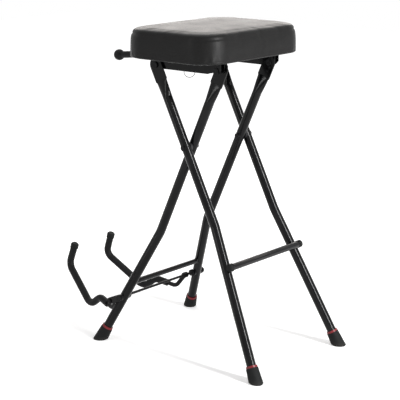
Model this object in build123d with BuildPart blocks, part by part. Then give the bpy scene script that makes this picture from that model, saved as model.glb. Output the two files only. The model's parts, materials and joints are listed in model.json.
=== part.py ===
from build123d import *
from math import atan2, cos, degrees, hypot, radians, sin, tan
import os

# Folding guitar stool: a padded seat on two crossed tube frames, with a fold-out
# cradle for the guitar's body low at the back and a neck rest that slides out
# from under the seat. Millimetres, +Z up, the front (footrest side) towards -Y.
# The origin is on the floor, below the middle of the line through the X pivots.

# Whole stool: the seat's own thickness, added to the hinge, gives its height
pivot_height = 500.3
hinge_height = 684.0
cushion_height = 70.0

# Leg tubes: the planes of the two frames, their lean and their splayed feet
tube_diameter = 22.2
tube_wall = 1.5
frame_middle = 101.2
frame_spacing = 24.8
outer_lean = 26.34
inner_lean = 24.59
outer_bend_height = 326.7
inner_bend_height = 277.5
outer_foot_spread = 165.6
inner_foot_spread = 171.0
leg_bend_radius = 70.0

# Pressed leg tops
tab_width = 34.0
tab_thickness = 3.2
tab_length = 38.0
crimp_length = 42.0
crimp_overlap = 6.0
tab_taper_length = 10.0
crimp_place_share = 0.45
crimp_waist_share = 0.62
crimp_point_share = 0.5
tab_taper_share = 0.6

# Rubber feet and the coloured bands above them
foot_top_diameter = 28.6
foot_bottom_diameter = 33.0
foot_length = 35.5
foot_sole = 11.0
foot_edge_chamfer = 2.5
band_diameter = 27.0
band_height = 5.0

# Footrest, its end caps, and the crossbar of the inner frame
footrest_diameter = 16.0
footrest_wall = 1.4
footrest_height = 244.0
footrest_length = 276.0
footrest_saddle = 1.2
footrest_cap_diameter = 18.0
footrest_cap_length = 10.0
footrest_cap_end = 2.0
footrest_cap_chamfer = 2.5
crossbar_diameter = 13.0
crossbar_wall = 1.2
crossbar_height = 148.2

# X pivots
pivot_pin_diameter = 8.0
pivot_head_diameter = 12.0
pivot_head_height = 1.5
pivot_washer_diameter = 14.0
pivot_washer_thickness = 0.6
pivot_spacer_diameter = 20.0
pivot_cap_diameter = 12.0
pivot_cap_height = 2.4
saddle_depth = 5.0

# Seat rails: steel channels, open below, between the flattened leg tops
rail_width = 16.0
rail_height = 29.0
rail_wall = 2.0
rail_back = 20.0
rail_nose = 13.0
rail_corner = 10.0
hook_lip_length = 4.7
hook_lip_drop = 4.0
hook_mouth_length = 14.0
hinge_pin_diameter = 8.0
hinge_head_diameter = 14.0
hinge_head_height = 3.6
hinge_rivet_height = 1.6
hinge_washer_diameter = 18.0
hinge_bush_diameter = 12.0
hook_pin_diameter = 10.0
hook_head_diameter = 15.0
hook_head_height = 1.7
hook_washer_diameter = 16.0
rail_screw_diameter = 5.0
rail_screw_head = 9.0
rail_screw_head_height = 2.8
rail_screw_length = 12.0
rail_screw_spacing = 66.0

# Seat board and cushion
seat_width = 366.0
seat_set_back = 9.5
seat_depth = 270.0
seat_corner_radius = 67.0
board_thickness = 12.0
board_inset = 7.0
board_lift = 20.5
hem_height = 2.0
cushion_edge_radius = 12.0
cushion_crown_radius = 3400.0
side_draw_angle = 3.0

# Neck rest: a grooved stem with a two-pronged fork
stem_diameter = 10.0
stem_drop = 13.8
stem_length = 166.0
stem_chamfer = 1.2
fork_back = 214.5
fork_rod_diameter = 8.0
fork_spacing = 70.0
fork_corner_radius = 18.0
fork_droop = 6.0
prong_length = 65.0
prong_sleeve_diameter = 16.5
prong_sleeve_gap = 2.0
prong_ball_diameter = 27.0
prong_socket_depth = 8.0
neck_travel = 96.0
key_width = 5.6
key_depth = 3.0

# Guide of the neck rest, screwed under the board, with a spring lock below it
guide_front = 50.0
guide_back = 110.0
guide_diameter = 16.0
guide_web = 11.0
guide_plate_width = 62.0
guide_plate_margin = 7.0
guide_plate_thickness = 3.0
guide_corner = 6.0
guide_screw_diameter = 4.0
guide_screw_head = 8.0
guide_screw_head_height = 2.4
guide_screw_length = 12.0
guide_screw_inset = 8.0
lock_place = 85.0
lock_body_diameter = 13.0
lock_body_drop = 12.0
lock_chamber_diameter = 9.0
lock_chamber_height = 9.5
lock_cap_diameter = 14.0
lock_cap_thickness = 2.5
lock_nose_diameter = 5.0
lock_nose_rise = 2.4
lock_collar_diameter = 8.4
lock_collar_thickness = 1.4
lock_shank_diameter = 3.2
lock_tail_diameter = 4.6
lock_tail_drop = 0.4
lock_tail_length = 5.0
ring_eye_diameter = 2.4
ring_diameter = 27.4
ring_wire = 1.5
ring_turn = -50.3
spring_wire = 0.7
spring_diameter = 7.4

# Guitar cradle: an axle behind the inner frame's lower legs, and two bent arms
axle_height = 98.2
axle_set_back = 32.3
axle_diameter = 6.5
axle_cap_diameter = 11.0
axle_cap_height = 3.4
arm_rod_diameter = 11.0
arm_sleeve_diameter = 18.0
arm_bend_radius = 26.0
dip_bend_radius = 15.0
arm_eye_diameter = 15.0
arm_eye_width = 12.0
arm_sleeve_start = 24.0
arm_cap_diameter = 20.5
arm_cap_length = 14.0
arm_cap_end = 4.0
arm_cap_chamfer = 3.0
arm_root_x = 129.0
dip_x, dip_reach, dip_drop = 121.0, 23.5, -32.2
hump_x, hump_reach, hump_drop = 105.0, 80.5, -19.1
trough_x, trough_reach, trough_drop = 101.0, 119.5, -48.4
elbow_x, elbow_reach, elbow_rise = 69.7, 224.0, 32.3
tip_x, tip_reach, tip_rise = 67.4, 203.0, 92.0

# Brackets: links outside the inner legs, bolted through them, that carry the axle
bracket_thickness = 3.0
bracket_width = 17.0
bracket_bolt_height = 112.0
bracket_bolt_diameter = 6.0
bracket_head_diameter = 15.0
bracket_head_height = 3.2
bracket_saddle_diameter = 15.0
bracket_saddle_rise = 1.6
bracket_nut_across = 10.0
bracket_nut_height = 4.5
bracket_bolt_end = 2.0

# Clearances
running_fit = 0.05
side_gap = 0.3
seat_fit = 0.1
cut_depth = 400.0

os.makedirs("parts", exist_ok=True)

# Places that follow from the sizes above
tube_radius = tube_diameter / 2
tab_radius = tab_width / 2
outer_plane = frame_middle + frame_spacing / 2
inner_plane = frame_middle - frame_spacing / 2
outer_slope = tan(radians(outer_lean))
inner_slope = -tan(radians(inner_lean))
hinge_y = outer_slope * (hinge_height - pivot_height)
hook_y = inner_slope * (hinge_height - pivot_height)
board_bottom = hinge_height + board_lift
board_top = board_bottom + board_thickness
cushion_bottom = board_bottom + hem_height
seat_height = cushion_bottom + cushion_height
stem_height = board_bottom - stem_drop
rail_inner = frame_middle - rail_width / 2
rail_outer = frame_middle + rail_width / 2
outer_leg_sizes = (outer_plane, outer_slope, outer_bend_height, outer_foot_spread)
inner_leg_sizes = (inner_plane, inner_slope, inner_bend_height, inner_foot_spread)
bracket_bolt_y = inner_slope * (bracket_bolt_height - pivot_height)
axle_y = bracket_bolt_y + axle_set_back
hands = ((-1, "left"), (1, "right"))


def leg_points(side, plane_x, slope, bend_height, foot_spread):
    """Hinge, knee and floor point of one leg's centre line."""
    hinge = Vector(side * plane_x, slope * (hinge_height - pivot_height), hinge_height)
    knee = Vector(side * plane_x, slope * (bend_height - pivot_height), bend_height)
    floor = Vector(side * foot_spread, -slope * pivot_height, 0)
    return hinge, knee, floor


def splayed_x(sizes, height):
    """Distance of a lower leg's centre line from the middle, at a height."""
    plane_x, slope, bend_height, foot_spread = sizes
    return plane_x + (foot_spread - plane_x) * (bend_height - height) / bend_height


def save(solid, name):
    """Label a finished piece and write it."""
    solid.label = name
    export_step(solid, "parts/" + name + ".step")


def turned(side, y, z, steps, bore=0):
    """Round piece along X: steps of start, end and diameter, outwards from the middle."""
    with BuildPart() as piece:
        for start, end, diameter in steps:
            with BuildSketch(Plane(origin=(side * start, y, z), z_dir=(side, 0, 0))):
                Circle(diameter / 2)
            extrude(amount=end - start)
        if bore:
            with BuildSketch(Plane(origin=(0, y, z), z_dir=(side, 0, 0))):
                Circle(bore / 2)
            extrude(amount=cut_depth, mode=Mode.SUBTRACT)
    return piece.part


def bored(solid, side, y, z, diameter, start):
    """Blind bore along X, from a distance outwards."""
    with BuildPart() as piece:
        add(solid)
        with BuildSketch(Plane(origin=(side * start, y, z), z_dir=(side, 0, 0))):
            Circle(diameter / 2)
        extrude(amount=cut_depth, mode=Mode.SUBTRACT)
    return piece.part


def leg_core(side, sizes, lower):
    """Solid cylinder along one leg, with which other pieces are coped."""
    hinge, knee, floor = leg_points(side, *sizes)
    end = floor if lower else hinge
    with BuildPart() as core:
        with BuildSketch(Plane(origin=knee, z_dir=end - knee)):
            Circle(tube_radius)
        extrude(amount=(end - knee).length)
    return core.part


def cope(solid, *cores):
    """Cut the leg tubes out of a piece that is seated on them."""
    with BuildPart() as seated:
        add(solid)
        for core in cores:
            add(core, mode=Mode.SUBTRACT)
    return seated.part


# Legs: one round tube each, bent outwards at the knee. The top is pressed flat
# to a tab with a round end, and the tab is pierced for its pin.
def make_leg(side, sizes, pin_diameter, bracket_hole):
    hinge, knee, floor = leg_points(side, *sizes)
    upward = (hinge - knee).normalized()
    sideways = Vector(0, upward.Z, -upward.Y)
    sole = floor + (knee - floor).normalized() * foot_sole
    crimp_end = hinge - upward * tab_length
    crimp_start = crimp_end - upward * crimp_length
    waist = crimp_start + upward * crimp_length * crimp_place_share
    waist_half = tube_radius * crimp_waist_share
    wide_half = (tube_radius + tab_radius) / 2
    bore = tube_radius - tube_wall
    point_half = tab_thickness / 2 * crimp_point_share
    taper_half = tab_radius * tab_taper_share
    with BuildPart() as leg:
        with BuildSketch(Plane(origin=crimp_start, x_dir=sideways, z_dir=upward)):
            Circle(tube_radius)
        with BuildSketch(Plane(origin=waist, x_dir=sideways, z_dir=upward)):
            Ellipse(wide_half, waist_half)
        with BuildSketch(Plane(origin=crimp_end + upward * crimp_overlap, x_dir=sideways, z_dir=upward)):
            Ellipse(tab_radius - point_half, point_half)
        loft()
        with BuildSketch(Plane(origin=crimp_start, x_dir=sideways, z_dir=upward)):
            Circle(bore)
        with BuildSketch(Plane(origin=waist, x_dir=sideways, z_dir=upward)):
            Ellipse(wide_half - tube_wall, waist_half - tube_wall)
        with BuildSketch(Plane(origin=crimp_end - upward * crimp_overlap, x_dir=sideways, z_dir=upward)):
            Ellipse(tab_radius - 2 * tube_wall, point_half)
        loft(mode=Mode.SUBTRACT)
        with BuildSketch(Plane(origin=hinge, x_dir=-upward, z_dir=(1, 0, 0))):
            Circle(tab_radius)
            Polygon(
                (0, tab_radius),
                (0, -tab_radius),
                (tab_length, -tab_radius),
                (tab_length + tab_taper_length, -taper_half),
                (tab_length + tab_taper_length, taper_half),
                (tab_length, tab_radius),
                align=None,
            )
        extrude(amount=tab_thickness / 2, both=True)
        with BuildLine():
            FilletPolyline(sole, knee, crimp_start, radius=leg_bend_radius)
        with BuildSketch(Plane(origin=sole, z_dir=knee - sole)):
            Circle(tube_radius)
            Circle(bore, mode=Mode.SUBTRACT)
        sweep()
        with BuildSketch(Plane.YZ):
            with Locations((hinge.Y, hinge.Z)):
                Circle(pin_diameter / 2 + running_fit)
            with Locations((0, pivot_height)):
                Circle(pivot_pin_diameter / 2 + running_fit)
            if bracket_hole:
                with Locations((bracket_bolt_y, bracket_bolt_height)):
                    Circle(bracket_bolt_diameter / 2 + running_fit)
        extrude(amount=cut_depth, both=True, mode=Mode.SUBTRACT)
    return leg.part


for side, hand in hands:
    outer_leg = make_leg(side, outer_leg_sizes, hinge_pin_diameter, False)
    save(outer_leg, "outer_leg_" + hand)
    inner_leg = make_leg(side, inner_leg_sizes, hook_pin_diameter, True)
    save(inner_leg, "inner_leg_" + hand)


# Rubber feet: a tapered ferrule pushed on each tube, cut flat where it stands,
# and a coloured band on top of it.
def make_foot(side, sizes):
    hinge, knee, floor = leg_points(side, *sizes)
    axis = (knee - floor).normalized()
    flare = (foot_bottom_diameter - foot_top_diameter) / 2
    with BuildPart() as foot:
        with BuildSketch(Plane(origin=floor - axis * foot_length, z_dir=axis)):
            Circle(foot_bottom_diameter / 2 + flare)
        with BuildSketch(Plane(origin=floor + axis * foot_length, z_dir=axis)):
            Circle(foot_top_diameter / 2)
        loft()
        split(bisect_by=Plane.XY, keep=Keep.TOP)
        chamfer(edges().group_by(Axis.Z)[0], foot_edge_chamfer)
        with BuildSketch(Plane(origin=floor + axis * foot_sole, z_dir=axis)):
            Circle(tube_radius)
        extrude(amount=foot_length, mode=Mode.SUBTRACT)
    return foot.part


def make_band(side, sizes):
    hinge, knee, floor = leg_points(side, *sizes)
    axis = (knee - floor).normalized()
    with BuildPart() as band:
        with BuildSketch(Plane(origin=floor + axis * foot_length, z_dir=axis)):
            Circle(band_diameter / 2)
            Circle(tube_radius, mode=Mode.SUBTRACT)
        extrude(amount=band_height)
    return band.part


for frame, sizes in (("outer", outer_leg_sizes), ("inner", inner_leg_sizes)):
    for side, hand in hands:
        save(make_foot(side, sizes), frame + "_foot_" + hand)
    save(Compound(children=[make_band(side, sizes) for side, hand in hands]), frame + "_foot_bands")

# Footrest: a tube welded across the front of the outer legs, saddled on them.
outer_cores = [leg_core(side, outer_leg_sizes, True) for side, hand in hands]
inner_cores = [leg_core(side, inner_leg_sizes, True) for side, hand in hands]
footrest_offset = (tube_radius + footrest_diameter / 2 - footrest_saddle) / cos(radians(outer_lean))
footrest_y = outer_slope * (footrest_height - pivot_height) - footrest_offset
with BuildPart() as footrest_tube:
    with BuildSketch(Plane.YZ):
        with Locations((footrest_y, footrest_height)):
            Circle(footrest_diameter / 2)
            Circle(footrest_diameter / 2 - footrest_wall, mode=Mode.SUBTRACT)
    extrude(amount=footrest_length / 2, both=True)
save(cope(footrest_tube.part, *outer_cores), "footrest_tube")

# Rubber caps on the footrest's ends, seated against the legs
cap_outer_end = footrest_length / 2 + footrest_cap_end
caps = []
for side, hand in hands:
    with BuildPart() as footrest_cap:
        cap_plane = Plane(origin=(side * cap_outer_end, footrest_y, footrest_height), z_dir=(-side, 0, 0))
        with BuildSketch(cap_plane):
            Circle(footrest_cap_diameter / 2)
        extrude(amount=footrest_cap_length)
        chamfer(edges().sort_by(Axis.X)[-1 if side > 0 else 0], footrest_cap_chamfer)
        with BuildSketch(cap_plane.offset(footrest_cap_end)):
            Circle(footrest_diameter / 2)
        extrude(amount=footrest_cap_length, mode=Mode.SUBTRACT)
    caps.append(cope(footrest_cap.part, *outer_cores))
save(Compound(children=caps), "footrest_caps")

# Crossbar between the inner legs, coped to them
crossbar_y = inner_slope * (crossbar_height - pivot_height)
with BuildPart() as crossbar_tube:
    with BuildSketch(Plane.YZ):
        with Locations((crossbar_y, crossbar_height)):
            Circle(crossbar_diameter / 2)
            Circle(crossbar_diameter / 2 - crossbar_wall, mode=Mode.SUBTRACT)
    extrude(amount=splayed_x(inner_leg_sizes, crossbar_height), both=True)
save(cope(crossbar_tube.part, *inner_cores), "crossbar_tube")

# X pivots: a pin with a low head on each side through both legs, saddle washers
# on the tubes, a spacer between them and a low cap pressed on the inner end.
outer_face = outer_plane + tube_radius
inner_face = inner_plane - tube_radius
pin_head_start = outer_face + pivot_washer_thickness
pin_cap_end = inner_face - pivot_washer_thickness - side_gap
pin_cap_start = pin_cap_end - pivot_cap_height
pins, pin_caps, washers, spacers, inner_washers = [], [], [], [], []
for side, hand in hands:
    outer_core = leg_core(side, outer_leg_sizes, False)
    inner_core = leg_core(side, inner_leg_sizes, False)
    pin_end = pin_cap_start + pivot_cap_height / 2
    steps = [
        (pin_end, pin_head_start + pivot_head_height / 2, pivot_pin_diameter),
        (pin_head_start, pin_head_start + pivot_head_height, pivot_head_diameter),
    ]
    pins.append(turned(side, 0, pivot_height, steps))
    cap_steps = [(pin_cap_start, pin_cap_end, pivot_cap_diameter)]
    pin_cap = turned(side, 0, pivot_height, cap_steps)
    pin_caps.append(bored(pin_cap, side, 0, pivot_height, pivot_pin_diameter, pin_end))
    loose_bore = pivot_pin_diameter + 2 * running_fit
    washer = [(outer_face - saddle_depth, pin_head_start, pivot_washer_diameter)]
    washers.append(cope(turned(side, 0, pivot_height, washer, loose_bore), outer_core))
    spacer_start = inner_plane + tube_radius + side_gap
    spacer = [(spacer_start, outer_plane - tube_radius + saddle_depth, pivot_spacer_diameter)]
    spacers.append(cope(turned(side, 0, pivot_height, spacer, loose_bore), outer_core))
    inner_washer = [(inner_face - pivot_washer_thickness, inner_face + saddle_depth, pivot_washer_diameter)]
    inner_washers.append(cope(turned(side, 0, pivot_height, inner_washer, loose_bore), inner_core))
save(Compound(children=pins), "pivot_pins")
save(Compound(children=pin_caps), "pivot_caps")
save(Compound(children=washers), "pivot_outer_washers")
save(Compound(children=spacers), "pivot_spacers")
save(Compound(children=inner_washers), "pivot_inner_washers")

# Seat hinge pins, riveted through the outer tabs and both walls of the rails,
# and the hook pins, riveted in the inner tabs.
tab_half = tab_thickness / 2
hinge_pins, hinge_washers, hook_pins, hook_washers = [], [], [], []
for side, hand in hands:
    rivet_end = rail_inner - side_gap
    head_start = outer_plane + tab_half
    hinge_steps = [
        (rivet_end - hinge_rivet_height, rivet_end, hinge_head_diameter),
        (rivet_end - hinge_rivet_height / 2, head_start + hinge_head_height / 2, hinge_pin_diameter),
        (head_start, head_start + hinge_head_height, hinge_head_diameter),
    ]
    hinge_pins.append(turned(side, hinge_y, hinge_height, hinge_steps))
    washer = [(rail_outer + side_gap, outer_plane - tab_half, hinge_washer_diameter)]
    hinge_bore = hinge_pin_diameter + 2 * running_fit
    hinge_washers.append(turned(side, hinge_y, hinge_height, washer, hinge_bore))
    hook_steps = [
        (inner_plane - tab_half - hook_head_height, inner_plane - tab_half, hook_head_diameter),
        (inner_plane - tab_half - hook_head_height / 2, rail_outer + 2 * side_gap, hook_pin_diameter),
        (rail_outer + side_gap, rail_outer + side_gap + hook_head_height, hook_head_diameter),
    ]
    hook_pins.append(turned(side, hook_y, hinge_height, hook_steps))
    washer = [(inner_plane + tab_half, rail_inner - side_gap, hook_washer_diameter)]
    hook_washers.append(turned(side, hook_y, hinge_height, washer, hook_pin_diameter + 2 * running_fit))
save(Compound(children=hinge_pins), "hinge_pins")
save(Compound(children=hinge_washers), "hinge_washers")
save(Compound(children=hook_pins), "hook_pins")
save(Compound(children=hook_washers), "hook_washers")

# Seat rails: channels with a hinge bore at the back and, at the front, an open
# hook in both walls that drops over the hook pin.
rail_front = hook_y - rail_nose
rail_rear = hinge_y + rail_back
rail_bottom = board_bottom - rail_height
hook_radius = hook_pin_diameter / 2 + side_gap
screw_places = [(rail_front + rail_rear) / 2 + step * rail_screw_spacing for step in (-1, 0, 1)]
for side, hand in hands:
    with BuildPart() as rail:
        with BuildSketch(Plane(origin=(side * frame_middle, rail_front, board_bottom), x_dir=(1, 0, 0), z_dir=(0, 1, 0))):
            with Locations((0, rail_height / 2)):
                Rectangle(rail_width, rail_height)
            with Locations((0, rail_height / 2 + rail_wall)):
                Rectangle(rail_width - 2 * rail_wall, rail_height, mode=Mode.SUBTRACT)
        extrude(amount=rail_rear - rail_front)
        with BuildSketch(Plane.YZ):
            with Locations((hinge_y, hinge_height)):
                Circle(hinge_pin_diameter / 2 + running_fit)
            for end, way in ((rail_front, 1), (rail_rear, -1)):
                Polygon(
                    (end, rail_bottom),
                    (end + way * rail_corner, rail_bottom),
                    (end, rail_bottom + rail_corner),
                    align=None,
                )
            with Locations((hook_y, hinge_height)):
                Circle(hook_radius)
            mouth_start = hook_y + hook_radius + hook_lip_length
            Polygon(
                (hook_y - hook_radius, hinge_height),
                (hook_y + hook_radius, hinge_height),
                (mouth_start, hinge_height - hook_lip_drop),
                (mouth_start + hook_mouth_length, rail_bottom),
                (hook_y - hook_radius, rail_bottom),
                align=None,
            )
        extrude(amount=cut_depth, both=True, mode=Mode.SUBTRACT)
        for place in screw_places:
            with BuildSketch(Plane(origin=(side * frame_middle, place, board_bottom), z_dir=(0, 0, -1))):
                Circle(rail_screw_diameter / 2 + seat_fit)
            extrude(amount=rail_wall, mode=Mode.SUBTRACT)
    save(rail.part, "seat_rail_" + hand)

# Bushes between the rail's walls, on the hinge pins
bushes = []
for side, hand in hands:
    steps = [(rail_inner + rail_wall, rail_outer - rail_wall, hinge_bush_diameter)]
    bushes.append(turned(side, hinge_y, hinge_height, steps, hinge_pin_diameter + 2 * running_fit))
save(Compound(children=bushes), "hinge_bushes")


def make_screw(x, y, z, diameter, head, head_height, length):
    """Pan-head screw pointing up, its head's seat at height z."""
    with BuildPart() as screw:
        with BuildSketch(Plane(origin=(x, y, z - head_height))):
            Circle(head / 2)
        extrude(amount=head_height)
        chamfer(edges().group_by(Axis.Z)[0], head_height / 2)
        with BuildSketch(Plane(origin=(x, y, z - head_height / 2))):
            Circle(diameter / 2)
        extrude(amount=length + head_height / 2)
    return screw.part


rail_screw_sizes = (rail_screw_diameter, rail_screw_head, rail_screw_head_height, rail_screw_length)
screw_seat = board_bottom - rail_wall
rail_screws = [
    make_screw(side * frame_middle, place, screw_seat, *rail_screw_sizes)
    for side, hand in hands
    for place in screw_places
]
save(Compound(children=rail_screws), "rail_screws")

# Guide of the neck rest: a plate under the board, a web and a bored sleeve, with
# a boss below the sleeve that holds the spring lock.
guide_length = guide_back - guide_front
plate_length = guide_length + 2 * guide_plate_margin
plate_bottom = board_bottom - guide_plate_thickness
guide_middle = (guide_front + guide_back) / 2
screw_columns = guide_plate_width - 2 * guide_screw_inset
screw_rows = plate_length - 2 * guide_screw_inset
stem_bottom = stem_height - stem_diameter / 2
lock_body_bottom = stem_bottom - lock_body_drop
with BuildPart() as neck_guide:
    with BuildSketch(Plane(origin=(0, guide_middle, plate_bottom))):
        RectangleRounded(guide_plate_width, plate_length, guide_corner)
        with GridLocations(screw_columns, screw_rows, 2, 2):
            Circle(guide_screw_diameter / 2 + seat_fit, mode=Mode.SUBTRACT)
    extrude(amount=guide_plate_thickness)
    with BuildSketch(Plane(origin=(0, guide_middle, stem_height))):
        Rectangle(guide_web, guide_length)
    extrude(amount=stem_drop - guide_plate_thickness / 2)
    with BuildSketch(Plane(origin=(0, guide_front, stem_height), z_dir=(0, 1, 0))):
        Circle(guide_diameter / 2)
    extrude(amount=guide_length)
    with BuildSketch(Plane(origin=(0, lock_place, lock_body_bottom))):
        Circle(lock_body_diameter / 2)
    extrude(amount=stem_height - lock_body_bottom)
    with BuildSketch(Plane(origin=(0, guide_front, stem_height), z_dir=(0, 1, 0))):
        Circle(stem_diameter / 2 + running_fit)
    extrude(amount=guide_length, mode=Mode.SUBTRACT)
    with BuildSketch(Plane(origin=(0, lock_place, lock_body_bottom))):
        Circle(lock_chamber_diameter / 2)
    extrude(amount=lock_chamber_height, mode=Mode.SUBTRACT)
    with BuildSketch(Plane(origin=(0, lock_place, lock_body_bottom))):
        Circle(lock_nose_diameter / 2 + running_fit)
    extrude(amount=stem_height - lock_body_bottom, mode=Mode.SUBTRACT)
save(neck_guide.part, "neck_guide")

guide_screw_sizes = (guide_screw_diameter, guide_screw_head, guide_screw_head_height, guide_screw_length)
guide_screw_points = [
    (column * screw_columns / 2, guide_middle + row * screw_rows / 2)
    for column in (-1, 1)
    for row in (-1, 1)
]
guide_screws = [make_screw(x, y, plate_bottom, *guide_screw_sizes) for x, y in guide_screw_points]
save(Compound(children=guide_screws), "guide_screws")

# Cap that closes the lock's boss
with BuildPart() as lock_cap:
    with BuildSketch(Plane(origin=(0, lock_place, lock_body_bottom - lock_cap_thickness))):
        Circle(lock_cap_diameter / 2)
        Circle(lock_shank_diameter / 2 + running_fit, mode=Mode.SUBTRACT)
    extrude(amount=lock_cap_thickness)
save(lock_cap.part, "lock_cap")

# Seat board: plywood with pilot holes for the screws of the rails and the guide
board_width = seat_width - 2 * board_inset
board_depth = seat_depth - 2 * board_inset
board_corner = seat_corner_radius - board_inset
with BuildPart() as seat_board:
    with BuildSketch(Plane(origin=(0, seat_set_back, board_bottom))):
        RectangleRounded(board_width, board_depth, board_corner)
    extrude(amount=board_thickness)
    with BuildSketch(Plane.XY.offset(board_bottom)):
        for side, hand in hands:
            for place in screw_places:
                with Locations((side * frame_middle, place)):
                    Circle(rail_screw_diameter / 2)
    extrude(amount=rail_screw_length - rail_wall, mode=Mode.SUBTRACT)
    with BuildSketch(Plane.XY.offset(board_bottom)):
        for x, y in guide_screw_points:
            with Locations((x, y)):
                Circle(guide_screw_diameter / 2)
    extrude(amount=guide_screw_length - guide_plate_thickness, mode=Mode.SUBTRACT)
save(seat_board.part, "seat_board")

# Cushion: foam and vinyl over the board, with drawn-in sides, a rounded top edge
# and a shallow crown. The board sits in a pocket in its underside.
with BuildPart() as cushion:
    with BuildSketch(Plane(origin=(0, seat_set_back, cushion_bottom))):
        RectangleRounded(seat_width, seat_depth, seat_corner_radius)
    extrude(amount=cushion_height + cushion_edge_radius, taper=side_draw_angle)
    with Locations((0, seat_set_back, seat_height - cushion_crown_radius)):
        Sphere(cushion_crown_radius, mode=Mode.INTERSECT)
    fillet(faces().sort_by(Axis.Z)[-1].edges(), cushion_edge_radius)
    with BuildSketch(Plane(origin=(0, seat_set_back, cushion_bottom))):
        RectangleRounded(board_width, board_depth, board_corner)
    extrude(amount=board_top - cushion_bottom, mode=Mode.SUBTRACT)
save(cushion.part, "cushion")

# Neck rest: the stem slides in the guide, its keyway rides on the lock's nose,
# and the fork droops a little towards its tips.
fork_plane = Plane(
    origin=(0, fork_back, stem_height),
    x_dir=(1, 0, 0),
    z_dir=(0, sin(radians(fork_droop)), cos(radians(fork_droop))),
)
half_fork = fork_spacing / 2
with BuildPart() as neck_yoke:
    with BuildSketch(Plane(origin=(0, fork_back, stem_height), x_dir=(1, 0, 0), z_dir=(0, -1, 0))):
        Circle(stem_diameter / 2)
    extrude(amount=stem_length)
    chamfer(edges().sort_by(Axis.Y)[0], stem_chamfer)
    key_reach = lock_nose_diameter / 2 + side_gap
    key_start = lock_place - key_reach
    key_end = lock_place + neck_travel + key_reach
    with BuildSketch(Plane.XY.offset(stem_bottom)):
        with Locations((0, (key_start + key_end) / 2)):
            Rectangle(key_width, key_end - key_start)
    extrude(amount=key_depth, mode=Mode.SUBTRACT)
    with BuildLine(fork_plane):
        FilletPolyline(
            (-half_fork, prong_length),
            (-half_fork, 0),
            (half_fork, 0),
            (half_fork, prong_length),
            radius=fork_corner_radius,
        )
    fork_start = fork_plane.from_local_coords(Vector(-half_fork, prong_length, 0))
    with BuildSketch(Plane(origin=fork_start, z_dir=-fork_plane.y_dir)):
        Circle(fork_rod_diameter / 2)
    sweep()
save(neck_yoke.part, "neck_yoke")

# Rubber sleeves and ball ends on the prongs
sleeves, balls = [], []
sleeve_start = fork_corner_radius + prong_sleeve_gap
for side, hand in hands:
    prong_base = fork_plane.from_local_coords(Vector(side * half_fork, sleeve_start, 0))
    prong_tip = fork_plane.from_local_coords(Vector(side * half_fork, prong_length, 0))
    ball_root = prong_length - prong_socket_depth - sleeve_start
    with BuildPart() as sleeve:
        with BuildSketch(Plane(origin=prong_base, z_dir=fork_plane.y_dir)):
            Circle(prong_sleeve_diameter / 2)
            Circle(fork_rod_diameter / 2 + running_fit, mode=Mode.SUBTRACT)
        extrude(amount=ball_root)
    with BuildPart() as ball:
        with Locations(prong_tip):
            Sphere(prong_ball_diameter / 2)
        with BuildSketch(Plane(origin=prong_base, z_dir=fork_plane.y_dir)):
            Circle(fork_rod_diameter / 2 + running_fit)
        extrude(amount=prong_length - sleeve_start + seat_fit, mode=Mode.SUBTRACT)
        with BuildSketch(Plane(origin=prong_base, z_dir=fork_plane.y_dir)):
            Circle(prong_sleeve_diameter / 2 + running_fit)
        extrude(amount=ball_root, mode=Mode.SUBTRACT)
    sleeves.append(sleeve.part)
    balls.append(ball.part)
save(Compound(children=sleeves), "prong_sleeves")
save(Compound(children=balls), "prong_balls")

# Lock pin: a nose in the keyway, a collar that the spring pushes up, a shank
# through the cap and a pierced tail for the pull ring.
chamber_top = lock_body_bottom + lock_chamber_height
collar_top = chamber_top - side_gap
collar_bottom = collar_top - lock_collar_thickness
cap_bottom = lock_body_bottom - lock_cap_thickness
tail_top = cap_bottom - lock_tail_drop
tail_bottom = tail_top - lock_tail_length
eye_height = tail_bottom + lock_tail_length / 2
ring_turned = Vector(cos(radians(ring_turn)), sin(radians(ring_turn)), 0)
with BuildPart() as lock_pin:
    for bottom, top, diameter in (
        (tail_bottom, tail_top, lock_tail_diameter),
        (tail_top, collar_bottom, lock_shank_diameter),
        (collar_bottom, collar_top, lock_collar_diameter),
        (collar_top, stem_bottom + lock_nose_rise, lock_nose_diameter),
    ):
        with BuildSketch(Plane(origin=(0, lock_place, bottom))):
            Circle(diameter / 2)
        extrude(amount=top - bottom)
    with BuildSketch(Plane(origin=(0, lock_place, eye_height), z_dir=ring_turned)):
        Circle(ring_eye_diameter / 2)
    extrude(amount=lock_tail_diameter, both=True, mode=Mode.SUBTRACT)
save(lock_pin.part, "lock_pin")

# Pull ring through the tail's eye
ring_radius = (ring_diameter - ring_wire) / 2
with BuildPart() as pull_ring:
    with BuildSketch(Plane(origin=(0, lock_place, eye_height), z_dir=ring_turned)):
        Circle(ring_wire / 2)
    revolve(axis=Axis((0, lock_place, eye_height - ring_radius), ring_turned.cross(Vector(0, 0, 1))))
save(pull_ring.part, "pull_ring")

# Lock spring between the cap and the collar
with BuildPart() as lock_spring:
    with BuildSketch(Plane(origin=(0, lock_place, lock_body_bottom))):
        Circle(spring_diameter / 2)
        Circle(spring_diameter / 2 - spring_wire, mode=Mode.SUBTRACT)
    extrude(amount=collar_bottom - lock_body_bottom)
save(lock_spring.part, "lock_spring")

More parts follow.
